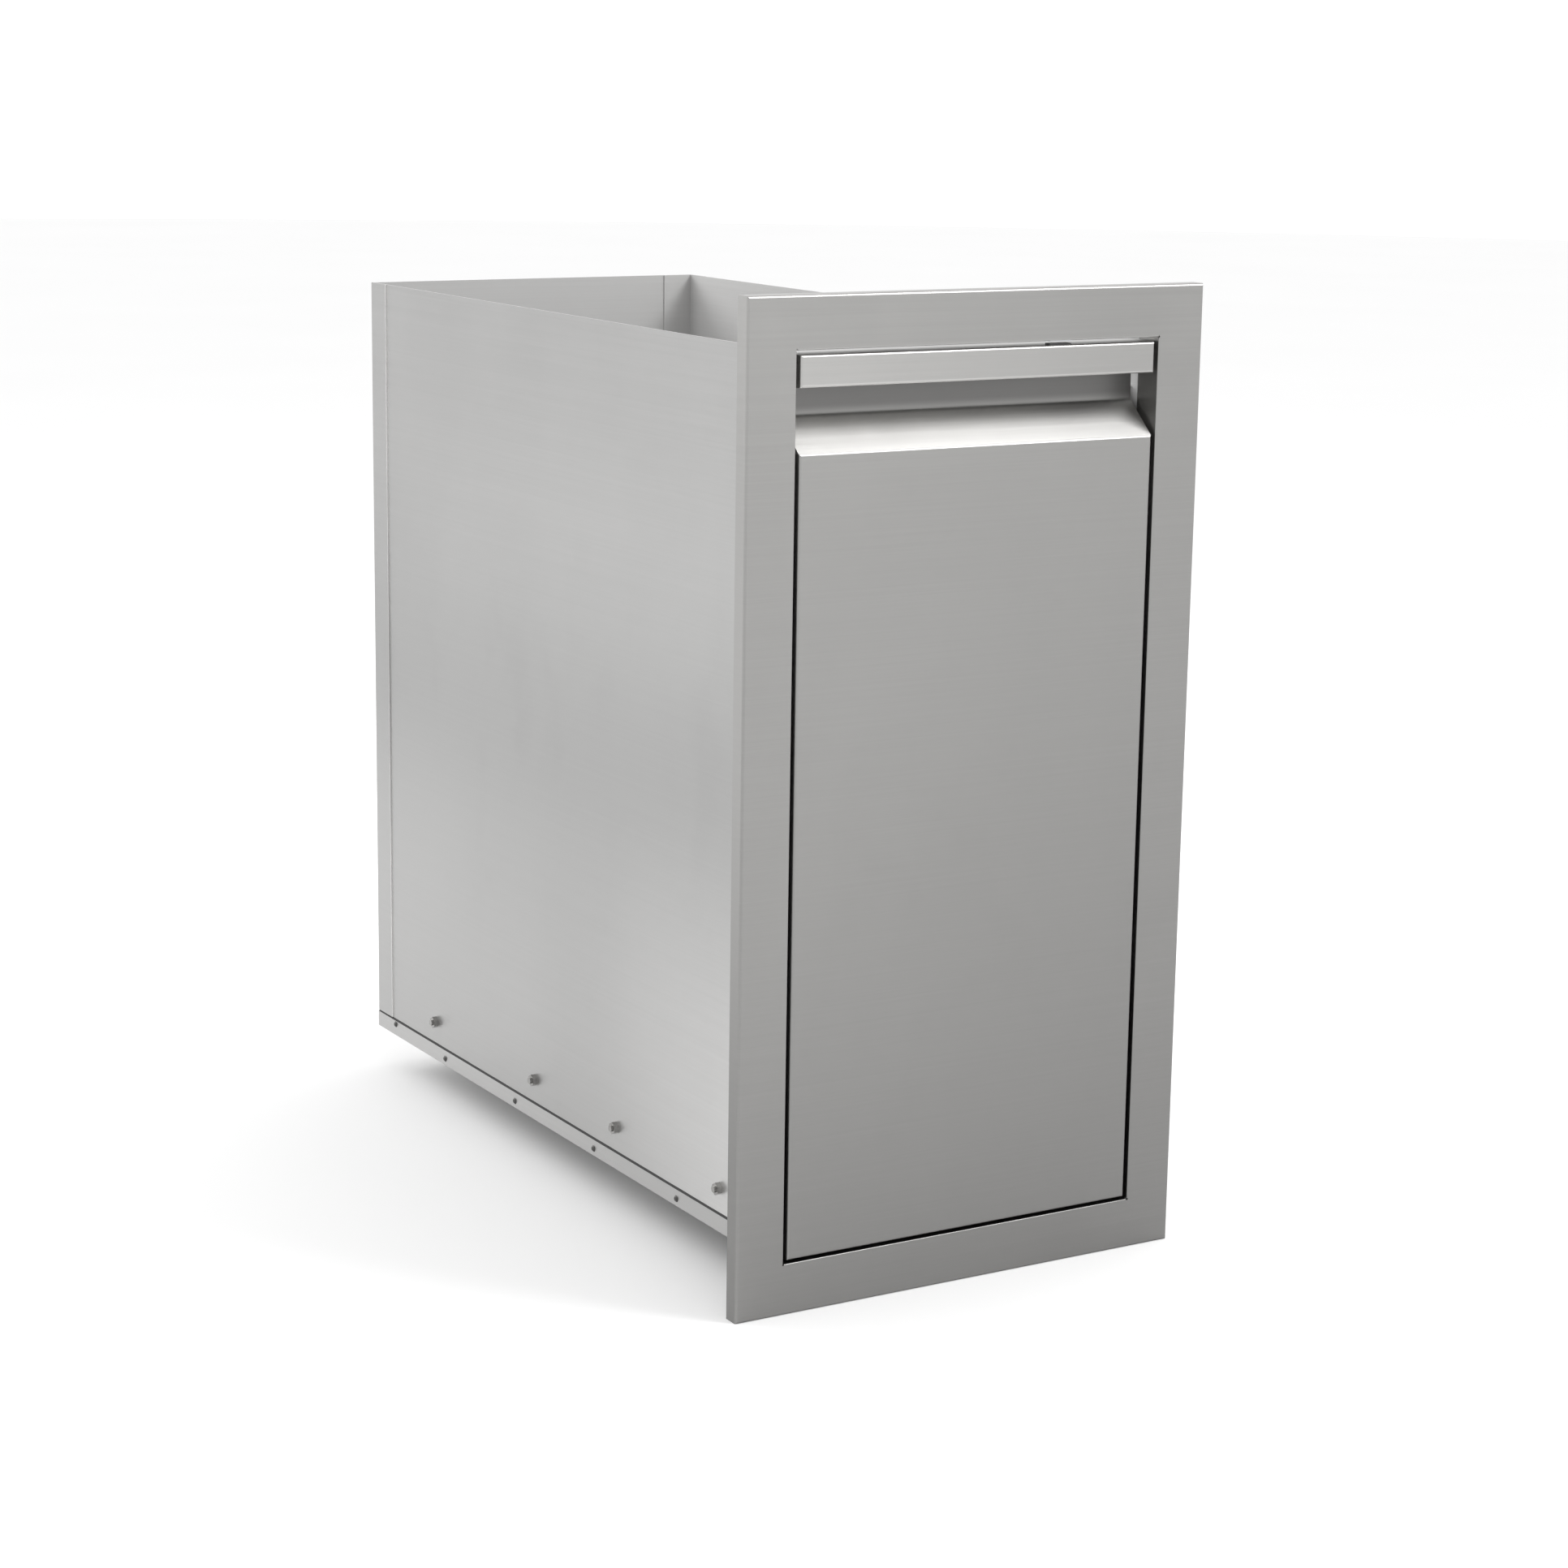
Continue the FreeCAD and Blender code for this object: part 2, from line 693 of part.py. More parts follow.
def make_gusset(side):
    inner = tray_x - tray_sheet
    foot_y = tray_y0 + tray_sheet
    low = tray_floor_z
    top = tray_z1 - tray_side_h + gusset_h
    outline = [
        (foot_y, low), (foot_y + gusset_length, low), (foot_y + gusset_length, low + gusset_toe_h),
        (foot_y + gusset_flange_w, top), (liner_y1, top), (liner_y1, tray_z1), (foot_y, tray_z1),
    ]
    plate = prism_x(outline, side * inner, side * (inner - gusset_sheet))
    flange = block(side * inner, side * (inner - gusset_flange_w), liner_y1, liner_y1 + gusset_sheet,
                   tray_z1, top)
    drills = [hole(p, Y_AXIS, rivet_r + hole_play) for p in gusset_liner_points(side)]
    drills += [hole(p, X_AXIS, rivet_r + hole_play) for p in gusset_tray_points(side)]
    drills += [hole(p, X_AXIS, 2.6 * small_screw_r, 2 * gusset_sheet)
               for p in inner_screw_points(side) if p.y < foot_y + gusset_length]
    return cut(join([plate, flange]), drills)


def make_gusset_rivets():
    solids = []
    for side in SIDES.values():
        for p in gusset_liner_points(side):
            solids.append(rivet(p, Y_AXIS, gusset_sheet + front_sheet))
        for p in gusset_tray_points(side):
            solids.append(rivet(p, X_AXIS * -side, gusset_sheet + tray_sheet))
    return group(solids)


def make_bin_stop():
    x = tray_x - tray_sheet - 0.5
    upright = block(-x, x, bin_stop_y, bin_stop_y + stop_sheet, tray_floor_z, tray_floor_z + stop_h)
    foot = block(-x, x, bin_stop_y, bin_stop_y + stop_sheet + stop_foot_w, tray_floor_z,
                 tray_floor_z + stop_sheet)
    drills = [hole(p, Z_AXIS, rivet_r + hole_play) for p in stop_foot_points()]
    return cut(join([upright, foot]), drills)


def make_bin_stop_rivets():
    return group(rivet(p, Z_AXIS, stop_sheet + tray_sheet) for p in stop_foot_points())


# ---- Closing stops ---------------------------------------------------------------------------


def make_stop_brackets():
    solids = []
    front_y = liner_y1 + bumper_gap + bumper_thick
    z0, z1 = stop_z() - bumper_h / 2, stop_z() + bumper_h / 2
    for side in SIDES.values():
        wall = side * panel_in_x
        front = block(wall, side * (panel_in_x - bumper_w), front_y, front_y + stop_bracket_sheet, z0, z1)
        foot = block(wall, side * (panel_in_x - stop_bracket_sheet), front_y,
                     front_y + stop_bracket_foot, z0, z1)
        drills = [hole(p, X_AXIS, rivet_r + hole_play) for p in stop_rivet_points(side)]
        solids.append(cut(join([front, foot]), drills))
    return group(solids)


def make_stop_rivets():
    grip = housing_sheet + stop_bracket_sheet
    solids = []
    for side in SIDES.values():
        solids += [rivet(p, X_AXIS * side, grip, small_rivet_head_r) for p in stop_rivet_points(side)]
    return group(solids)


def make_bumpers():
    solids = []
    y0 = liner_y1 + bumper_gap
    radius = 0.36 * bumper_w
    for side in SIDES.values():
        x = side * (panel_in_x - 0.55 * bumper_w)
        pad = rod(V(x, y0, stop_z()), Y_AXIS, radius, bumper_thick)
        rim = [edge for edge in pad.Edges if near(edge.BoundBox.YMax, y0)]
        solids.append(pad.makeFillet(0.8, rim))
    return group(solids)


# ---- Bin -------------------------------------------------------------------------------------


def rounded_loop(half_w, half_l, radius, centre_y, z):
    """A closed wire: a rectangle with round corners, lying flat at height z."""
    edges = []
    corners = [(1, 1, 0), (-1, 1, 90), (-1, -1, 180), (1, -1, 270)]
    arcs = []
    for sx, sy, start in corners:
        cx, cy = sx * (half_w - radius), centre_y + sy * (half_l - radius)
        points = []
        for angle in (start, start + 45, start + 90):
            a = math.radians(angle)
            points.append(V(cx + radius * math.cos(a), cy + radius * math.sin(a), z))
        arcs.append(points)
    for i, points in enumerate(arcs):
        edges.append(Part.Arc(*points).toShape())
        edges.append(Part.makeLine(points[2], arcs[(i + 1) % 4][0]))
    return Part.Wire(edges)


def bin_loft(inset, z0, z1):
    """The tapered tub, moved in from its outer skin by inset, between two heights."""
    half_w = bin_rim_w / 2 - bin_rim_lip
    half_l = bin_rim_length / 2 - bin_rim_lip
    centre = (bin_y0 + bin_y1) / 2
    loops = []
    for z in (z0, z1):
        shrink = inset + bin_taper * (1 - (z - tray_floor_z) / bin_h)
        loops.append(rounded_loop(half_w - shrink, half_l - shrink, bin_corner_r - inset, centre, z))
    return Part.makeLoft(loops, True, True)


def make_bin():
    top = tray_floor_z + bin_h
    tub = bin_loft(0, tray_floor_z, top)
    centre = (bin_y0 + bin_y1) / 2
    rim = Part.Face(rounded_loop(bin_rim_w / 2, bin_rim_length / 2, bin_corner_r + bin_rim_lip, centre,
                                 top - bin_rim_skirt)).extrude(V(0, 0, bin_rim_skirt))
    under = Part.Face(rounded_loop(bin_rim_w / 2 - bin_wall, bin_rim_length / 2 - bin_wall,
                                   bin_corner_r + bin_rim_lip - bin_wall, centre,
                                   top - bin_rim_skirt)).extrude(V(0, 0, bin_rim_skirt - bin_wall))
    shell = tub.fuse(rim.cut(under)).removeSplitter()
    return shell.cut(bin_loft(bin_wall, tray_floor_z + bin_wall, top))


# ---- Assembly --------------------------------------------------------------------------------

parts = {}
parts["front_frame"] = make_front_frame()
parts["back_panel"] = make_back_panel()
parts["bottom_pan"] = make_bottom_pan()
parts["pan_rivets"] = make_pan_rivets()
parts["slide_nuts"] = make_slide_nuts()
parts["slide_screws"] = make_slide_screws()
parts["stop_brackets"] = make_stop_brackets()
parts["stop_rivets"] = make_stop_rivets()
parts["stop_bumpers"] = make_bumpers()
parts["catch_keeper"] = make_keeper()
for name, side in SIDES.items():
    parts[name + "_side_panel"] = make_side_panel(side)
    parts[name + "_outer_slide"] = make_outer_slide(side)
    parts[name + "_middle_slide"] = make_middle_slide(side)
    parts[name + "_inner_slide"] = make_inner_slide(side)
    parts[name + "_gusset"] = make_gusset(side)
    for kind in ("outer", "inner"):
        parts[name + "_" + kind + "_ball_cage"] = make_cage(side, kind)
        parts[name + "_" + kind + "_balls"] = make_balls(side, kind)
parts["drawer_front_skin"] = make_drawer_front_skin()
parts["handle_bar"] = make_handle_bar()
parts["drawer_front_liner"] = make_liner()
parts["liner_screws"] = make_rear_screws(liner_screw_points(), 2 * front_sheet + liner_screw_tail)
handle_grip = 2 * front_sheet + bar_sheet + handle_screw_tail
parts["handle_screws"] = make_rear_screws(handle_screw_points(), handle_grip)
parts["catch_magnet"] = make_magnet()
parts["drawer_tray"] = make_tray()
parts["tray_screws"] = make_tray_screws()
parts["inner_slide_screws"] = make_inner_slide_screws()
parts["gusset_rivets"] = make_gusset_rivets()
parts["bin_stop"] = make_bin_stop()
parts["bin_stop_rivets"] = make_bin_stop_rivets()
parts["trash_bin"] = make_bin()

os.makedirs("parts", exist_ok=True)
for name, shape in parts.items():
    shape.exportStep("parts/" + name + ".step")
print(len(parts), "nodes;", "travel", travel, "mm")
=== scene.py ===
# %% [markdown]
# # A pull-out trash drawer in sheet stainless steel
#
# The real thing is a tall sheet-metal box that is built into an outdoor kitchen. A folded frame covers
# the edge of the cut-out, and inside it a flush drawer front carries a tray, two ball-bearing slides and
# a bin. The metal parts arrive here as a fixed model, already in place and in metres. This script gives
# each of them its finish, builds the parts that need softer shapes than folded sheet, and lights the
# whole.
#
# The model's box is measured before anything is added, so that the last cell can compare the two.

import math

import bmesh
import bpy
from mathutils import Matrix, Vector


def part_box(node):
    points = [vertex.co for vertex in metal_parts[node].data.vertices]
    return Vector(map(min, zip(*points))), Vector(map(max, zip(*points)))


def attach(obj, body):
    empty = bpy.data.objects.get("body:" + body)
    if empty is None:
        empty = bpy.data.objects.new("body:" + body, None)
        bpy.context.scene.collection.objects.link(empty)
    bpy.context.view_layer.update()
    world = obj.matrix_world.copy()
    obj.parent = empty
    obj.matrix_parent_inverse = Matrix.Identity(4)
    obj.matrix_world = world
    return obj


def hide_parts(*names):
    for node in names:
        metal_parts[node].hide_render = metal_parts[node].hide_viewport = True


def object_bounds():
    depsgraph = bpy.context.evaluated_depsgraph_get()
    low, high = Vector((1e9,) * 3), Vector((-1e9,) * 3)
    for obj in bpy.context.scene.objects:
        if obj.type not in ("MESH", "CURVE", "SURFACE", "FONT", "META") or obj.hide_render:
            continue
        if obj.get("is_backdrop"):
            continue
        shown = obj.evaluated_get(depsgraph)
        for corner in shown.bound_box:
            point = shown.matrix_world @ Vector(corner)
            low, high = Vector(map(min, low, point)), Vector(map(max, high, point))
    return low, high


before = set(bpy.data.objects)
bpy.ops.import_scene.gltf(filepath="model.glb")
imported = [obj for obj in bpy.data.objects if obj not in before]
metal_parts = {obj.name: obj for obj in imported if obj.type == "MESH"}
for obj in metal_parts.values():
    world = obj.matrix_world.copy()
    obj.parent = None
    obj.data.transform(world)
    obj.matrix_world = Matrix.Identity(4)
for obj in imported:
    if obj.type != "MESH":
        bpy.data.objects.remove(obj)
cad_low, cad_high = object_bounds()
print(len(metal_parts), "parts; size in mm:", [round(1000 * side) for side in cad_high - cad_low])

# %% [markdown]
# ## Shader maths as plain sums
#
# A finish is a network of nodes. Networks built by hand in an editor are hard to read back, so here a
# socket is wrapped in a small class whose operators add the Math nodes. `1 - scratches * 0.2` then makes
# the same network as three nodes and their wires would. Colours don't go through Math nodes, which would
# turn them grey: they are mixed, or multiplied as vectors.


# %% A socket that can be used in a sum
class Value:
    """The output of a node, for use in Python expressions."""

    def __init__(self, finish, socket):
        self.finish, self.socket = finish, socket

    def _math(self, operation, *terms):
        return self.finish.node("ShaderNodeMath", {"operation": operation}, dict(enumerate(terms)))

    def __add__(self, other):
        return self._math("ADD", self, other)

    def __sub__(self, other):
        return self._math("SUBTRACT", self, other)

    def __rsub__(self, other):
        return self._math("SUBTRACT", other, self)

    def __mul__(self, other):
        return self._math("MULTIPLY", self, other)

    __radd__, __rmul__ = __add__, __mul__


# %% A network that grows node by node
class Network:
    """The nodes of a material or of the room. Every one of them comes from node()."""

    def __init__(self, owner, place):
        owner.use_nodes = True
        self.owner, self.tree = owner, owner.node_tree
        self.tree.nodes.clear()
        self.place = self.node("ShaderNodeTexCoord", output=place)

    def node(self, kind, settings=None, sockets=None, output=0):
        made = self.tree.nodes.new(kind)
        for name, setting in (settings or {}).items():
            setattr(made, name, setting)
        for name, given in (sockets or {}).items():
            if isinstance(given, Value):
                self.tree.links.new(given.socket, made.inputs[name])
            else:
                made.inputs[name].default_value = given
        return Value(self, made.outputs[output]) if len(made.outputs) else None

    def noise(self, lumps, detail=2.0, rough=0.5):
        """Smooth noise from 0 to 1, with so many lumps to a metre along each axis."""
        place = self.node("ShaderNodeVectorMath", {"operation": "MULTIPLY"}, {0: self.place, 1: lumps})
        return self.node("ShaderNodeTexNoise", None, {
            "Vector": place, "Scale": 1.0, "Detail": detail, "Roughness": rough})

    def step(self, value, low, high):
        """0 where the value is under low, 1 where it is over high, and smooth between."""
        return self.node("ShaderNodeMapRange", {"interpolation_type": "SMOOTHSTEP"}, {
            "Value": value, "From Min": low, "From Max": high})

    def mixed(self, share, first, second):
        """A colour between two others."""
        return self.node("ShaderNodeMix", {"data_type": "RGBA"}, {0: share, 6: first, 7: second}, 2)


class Finish(Network):
    """A material being made. Its noise is read from the place on the part, in metres."""

    def __init__(self, name):
        super().__init__(bpy.data.materials.new(name), "Object")

    def done(self, colour, rough, height, **constants):
        """Joins everything to the shader. The height is in metres."""
        normal = self.node("ShaderNodeBump", None, {"Height": height, "Distance": 1.0, "Strength": 1.0})
        sockets = {"Base Color": colour, "Roughness": rough, "Normal": normal}
        sockets.update({name.replace("_", " "): number for name, number in constants.items()})
        shader = self.node("ShaderNodeBsdfPrincipled", None, sockets)
        self.node("ShaderNodeOutputMaterial", None, {"Surface": shader})
        print("finish", self.owner.name, "has", len(self.tree.nodes), "nodes")
        return self.owner


def grey(level, warm=0.0):
    """A nearly neutral colour: warm tips it towards yellow, or towards blue where it is negative."""
    return (level * (1 + 0.5 * warm), level, level * (1 - warm), 1.0)


# %% [markdown]
# ## Sheet steel
#
# Stainless sheet is sold with a ground grain: fine parallel scratches, which blur a reflection across
# the grain far more than along it. It could be painted on with an image, or made from anisotropic
# shading, which needs a tangent on every face. Noise stretched a hundredfold along the grain needs
# neither, and it holds on every fold because it is read from the place on the part. Three scales are
# added: the hairline scratches, broader streaks from the belt, and cloudy patches from handling. A slow
# wave stands for the sheet's own unevenness between its folds.
#
# The inner faces of the housing are made pale and dull: painted light that stands in for light bouncing
# inside the open box, with painted shade towards its back. There the shader is not metallic, which is a
# stand-in and not what steel is. A metallic shader with a tone of its own would be truer and might look
# as well; it was not tried.


# %% Ground sheet
GRAIN_LEVEL = (9.0, 9.0, 2600.0)
GRAIN_LENGTHWAYS = (2600.0, 9.0, 9.0)
STREAK_LUMPS, STREAK_GROOVE = 0.16, 0.04
NON_METAL_DULLNESS = 0.25


def sheet_steel(name, rough, lumps, tones, non_metal_share=None, warm=0.02, wave=0.0003, groove=0.00003):
    """Stainless sheet. lumps says which way its grain runs, and tones gives its brightness at a place.
    non_metal_share gives 1 where the shader is a dull non-metal, for faces whose pale tone is painted
    light."""
    steel = Finish(name)
    hairlines = steel.noise(lumps, detail=3.0, rough=0.6)
    streaks = steel.noise([count * STREAK_LUMPS for count in lumps], detail=2.0)
    clouds = steel.noise((7.0, 7.0, 5.0), detail=3.0)
    smears = steel.step(steel.noise((16.0, 16.0, 11.0), detail=4.0), 0.52, 0.75)
    swell = steel.noise((3.1, 3.1, 2.3), detail=0.0)
    tone = tones(steel) * (hairlines * 0.1 + streaks * 0.08 + clouds * 0.1 + 0.86)
    colour = steel.mixed(tone, grey(0.0), grey(1.0, warm))
    dull = hairlines * 0.08 + streaks * 0.06 + clouds * 0.06 + smears * 0.04 + (rough - 0.1)
    height = hairlines * groove + streaks * (STREAK_GROOVE * groove) + swell * wave
    metal = 1.0
    if non_metal_share:
        non_metal_mask = non_metal_share(steel)
        dull, metal = dull + non_metal_mask * NON_METAL_DULLNESS, 1 - non_metal_mask
    return steel.done(colour, dull, height, Metallic=metal)


def along(steel, axis):
    """How far a place lies along one axis, in metres."""
    return steel.node("ShaderNodeSeparateXYZ", None, {0: steel.place}, axis)


# %% [markdown]
# ## Tones by place
#
# Each folded part shades into the next: a face turns a little from the light, or the sheet next to it
# throws light back. A few lamps in a plain room don't give all of that. More lamps could, but they would
# light everything else too. So slow masks, read from the place on the part, make the sheet brighter or
# darker. Most of them are measured from the parts' own boxes. They stay on the part when it moves and
# under any other light, which is the price of doing it this way: a ledge that suits a closed drawer is
# too bright in an open one.


# %% Tones of the front
LEDGE_BELOW_BAR = 0.0437


def frame_tones(steel):
    """Painted shade: a slow fall in brightness towards the foot and towards the right."""
    across = steel.step(along(steel, "X"), -0.18, 0.18)
    return steel.step(along(steel, "Z"), 0.0, 0.9) * 0.16 - across * 0.03 + 0.242


def skin_tones(steel):
    """As the frame, but with painted light on the pressed ledge, and painted shade deep in the recess."""
    level, depth = along(steel, "Z"), along(steel, "Y")
    wall_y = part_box("drawer_front_skin")[1].y
    ledge_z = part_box("handle_bar")[0].z - LEDGE_BELOW_BAR
    deep = steel.step(depth, wall_y - 0.004, wall_y - 0.001)
    # Painted light on the pressed ledge, weaker towards the right, and painted shade on the recess wall.
    painted_ledge_light = steel.step(level, ledge_z, ledge_z + 0.0012) * (1 - deep)
    painted_recess_shade = steel.step(level, ledge_z + 0.02, ledge_z + 0.03) * deep
    gain = 0.95 - steel.step(along(steel, "X"), -0.05, 0.15) * 0.3
    return frame_tones(steel) * (painted_ledge_light * gain + 1) * (1 - painted_recess_shade * 0.5)


def bar_tones(steel):
    """Painted shade: a fall in brightness towards the right."""
    return steel.step(along(steel, "X"), -0.3, 0.3) * -0.12 + 0.49


# %% Tones of the housing
def outside_share(steel):
    """1 on the outer faces of the housing, and 0 on its inner ones."""
    low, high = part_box("left_side_panel")
    across = steel.node("ShaderNodeMath", {"operation": "ABSOLUTE"}, {0: along(steel, "X")})
    outside = steel.step(across, -low.x - 0.0006, -low.x - 0.0002)
    behind = steel.step(along(steel, "Y"), high.y, high.y + 0.001)
    return outside + behind - outside * behind


def housing_tones(steel):
    """Ground outside, with painted light at its foot and its head, and pale inside as painted light."""
    low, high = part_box("left_side_panel")
    level, depth = along(steel, "Z"), along(steel, "Y")
    # Painted light: the outer faces grow brighter towards the foot, most at the front, and towards the
    # head.
    foot = 1 - steel.step(level, low.z, 0.6 * high.z)
    head = steel.step(level, 0.45 * high.z, 0.85 * high.z)
    front = 1 - steel.step(depth, low.y, 0.5 * high.y)
    ground = head * 0.12 + foot * (front * 0.20 + 0.14) + 0.29
    # Painted light: the inner faces are far paler than the outer ones, with painted shade near the back.
    inner = 0.57 - steel.step(depth, high.y - 0.02, high.y) * 0.08
    share = outside_share(steel)
    return share * ground + (1 - share) * inner


def wrap_tones(steel):
    """As the housing, with a painted highlight on the front edges of the wrapped flanges."""
    edge_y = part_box("back_panel")[0].y
    # Painted highlight: the front edges of the wrapped flanges, which lie in shade, are made brighter.
    edge = 1 - steel.step(along(steel, "Y"), edge_y, edge_y + 0.0006)
    return housing_tones(steel) * (edge * 1.4 + 1)


def non_metal_inside(steel):
    """1 on the inner faces of the housing, whose pale tone is painted light."""
    return 1 - outside_share(steel)


# %% Tones of the plain sheet, and the sheet finishes
def plain_tones(steel):
    return steel.noise((3.0, 3.0, 3.0)) * 0.06 + 0.46


def pan_tones(steel):
    return steel.noise((3.0, 3.0, 3.0)) * 0.06 + 0.44


finishes = {
    "frame": sheet_steel("frame_steel", 0.36, GRAIN_LEVEL, frame_tones),
    "skin": sheet_steel("skin_steel", 0.40, GRAIN_LEVEL, skin_tones),
    "bar": sheet_steel("bar_steel", 0.36, GRAIN_LEVEL, bar_tones),
    "housing": sheet_steel("housing_steel", 0.34, GRAIN_LEVEL, housing_tones, non_metal_inside, warm=0.01),
    "wrap": sheet_steel("wrap_steel", 0.34, GRAIN_LEVEL, wrap_tones, non_metal_inside, warm=0.01),
    "sheet": sheet_steel("inner_sheet_steel", 0.30, GRAIN_LEVEL, plain_tones, warm=0.01),
    "tray": sheet_steel("tray_steel", 0.30, GRAIN_LENGTHWAYS, plain_tones, warm=0.01),
    "pan": sheet_steel("pan_steel", 0.30, GRAIN_LEVEL, pan_tones, warm=0.01),
}
print(len(finishes), "finishes for sheet")

# %% [markdown]
# ## Fasteners, slides and balls
#
# Small turned parts are darker than the sheet and glossier, with finer marks, so a nut shows as a dark
# dot with a glint. The blind rivets in the pan's lips are painted nearly black: painted shade that stands
# for the shade on their small heads. The slides are zinc-plated, which leaves a faint bluish mottle with
# yellow patches from the passivating bath. The balls are ground to a mirror. One noise with other numbers
# would do for all four, but each of these marks comes from another process, so each has its own.


# %% Hardware finishes
def turned_steel():
    steel = Finish("turned_steel")
    marks = steel.noise((2600.0, 2600.0, 2600.0), detail=2.0)
    tarnish = steel.noise((140.0, 140.0, 140.0), detail=2.0)
    colour = steel.mixed(tarnish, grey(0.22, 0.04), grey(0.42, 0.02))
    return steel.done(colour, marks * 0.12 + 0.12, marks * 0.000006, Metallic=1.0)


def blind_rivet_steel():
    steel = Finish("blind_rivet_steel")
    marks = steel.noise((1800.0, 1800.0, 1800.0), detail=2.0)
    # Painted shade: the heads are nearly black for the shade that lies on them.
    colour = steel.mixed(marks, grey(0.05, 0.03), grey(0.12, 0.02))
    return steel.done(colour, marks * 0.2 + 0.35, marks * 0.00001, Metallic=1.0)


def zinc_plate():
    zinc = Finish("zinc_plate")
    mottle = zinc.noise((260.0, 260.0, 260.0), detail=4.0, rough=0.7)
    patches = zinc.step(zinc.noise((22.0, 22.0, 60.0), detail=2.0), 0.5, 0.8)
    drawn = zinc.noise((1800.0, 7.0, 1800.0), detail=2.0)
    bright = zinc.mixed(mottle, grey(0.50, -0.05), grey(0.66, -0.03))
    colour = zinc.mixed(patches * 0.35, bright, grey(0.58, 0.12))
    return zinc.done(colour, mottle * 0.16 + drawn * 0.08 + 0.2, drawn * 0.000005, Metallic=1.0)


def ground_balls():
    balls = Finish("ground_ball_steel")
    oil = balls.noise((90.0, 90.0, 90.0), detail=2.0)
    colour = balls.mixed(oil, grey(0.62), grey(0.72))
    return balls.done(colour, oil * 0.12 + 0.06, oil * 0.000001, Metallic=1.0)


finishes["fasteners"] = turned_steel()
finishes["rivets"] = blind_rivet_steel()
finishes["slides"] = zinc_plate()
finishes["balls"] = ground_balls()

# %% [markdown]
# ## Rubber and plastics
#
# Moulded parts copy the mould's texture: a fine even pebble on the bin, where it hides scuffs, and a
# smoother skin on small technical parts. Rubber is nearly black and has no gloss at all. The bin is
# rubbed paler low down, where it slides over the tray, so that mask comes from the height on the part.


# %% Moulded finishes
def moulded(name, dark, pale, rough, pebble, pebble_height):
    """Plastic or rubber with a pebbled skin: pebble is how many there are to a metre."""
    plastic = Finish(name)
    pebbles = plastic.noise((pebble, pebble, pebble), detail=1.0)
    cast = plastic.noise((30.0, 30.0, 12.0), detail=3.0)
    dull = pebbles * 0.1 + cast * 0.1 + (rough - 0.1)
    return plastic.done(plastic.mixed(cast, dark, pale), dull, pebbles * pebble_height, Metallic=0.0)


RUBBED_HEIGHT = 0.12


def bin_plastic():
    """Dark grey plastic, with long scratches, and rubbed paler near its floor."""
    plastic = Finish("bin_plastic")
    floor_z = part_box("trash_bin")[0].z
    pebbles = plastic.noise((1300.0, 1300.0, 1300.0), detail=1.0)
    flow = plastic.noise((11.0, 11.0, 3.0), detail=3.0)
    scratches = plastic.step(plastic.noise((900.0, 900.0, 14.0), detail=3.0), 0.6, 0.72)
    low_down = 1 - plastic.step(along(plastic, "Z"), floor_z, floor_z + RUBBED_HEIGHT)
    rubbed = low_down * plastic.noise((60.0, 60.0, 25.0), detail=4.0)
    worn = scratches * 0.12 + rubbed * 0.45
    moulding = plastic.mixed(flow, grey(0.055, -0.03), grey(0.085, -0.03))
    colour = plastic.mixed(worn, moulding, grey(0.2, -0.02))
    rough = pebbles * 0.12 + worn * 0.2 + 0.36
    return plastic.done(colour, rough, pebbles * 0.00003 + flow * 0.0001)


finishes["rubber"] = moulded("black_rubber", grey(0.012), grey(0.03), 0.72, 700.0, 0.00002)
finishes["black_plastic"] = moulded("black_plastic", grey(0.016), grey(0.028), 0.42, 1600.0, 0.000012)
finishes["bin"] = bin_plastic()

# %% [markdown]
# ## Which part has which finish
#
# The finish goes into the slot of the part's own object, and its mesh stays as it came. The front frame,
# the drawer's skin and the bar have the ground grain that the owner sees, and the sheet behind is
# plainer. The tray lies flat and has its grain the other way, along the drawer. A table names the parts
# that differ, and the endings of the other names tell slides, balls and fasteners apart.


# %% Dress the metal parts
finish_of = {
    "front_frame": "frame", "drawer_front_skin": "skin", "handle_bar": "bar",
    "left_side_panel": "housing", "right_side_panel": "housing", "back_panel": "wrap",
    "drawer_front_liner": "sheet", "stop_brackets": "sheet", "left_gusset": "sheet",
    "right_gusset": "sheet", "bin_stop": "sheet", "bottom_pan": "pan", "drawer_tray": "tray",
    "pan_rivets": "rivets", "catch_keeper": "slides", "catch_magnet": "black_plastic",
    "stop_bumpers": "rubber", "trash_bin": "bin",
}


def finish_for(name):
    """The finish of a part, from the table or from how its name ends."""
    if name.endswith("balls"):
        return finishes["balls"]
    hardware = "slides" if name.endswith(("slide", "cage")) else "fasteners"
    return finishes[finish_of.get(name, hardware)]


for name, part in metal_parts.items():
    for place in part.material_slots:
        place.material = finish_for(name)
    if not part.material_slots:
        part.data.materials.append(finish_for(name))
print("dressed", len(metal_parts), "parts")

# %% [markdown]
# ## The bin
#
# The bin is injection-moulded, so it has what folded sheet never has: taper, round corners, a rolled rim
# with a skirt, flutes that stiffen its long sides, and a raised base. A box pushed and pulled by hand
# could reach that, but a stack of rings says it more plainly. Each ring is a rounded rectangle at one
# height, and walking from the middle of the floor, up the inside, over the rim and down the outside
# gives one closed skin. It takes the place of the plainer solid in the same space.


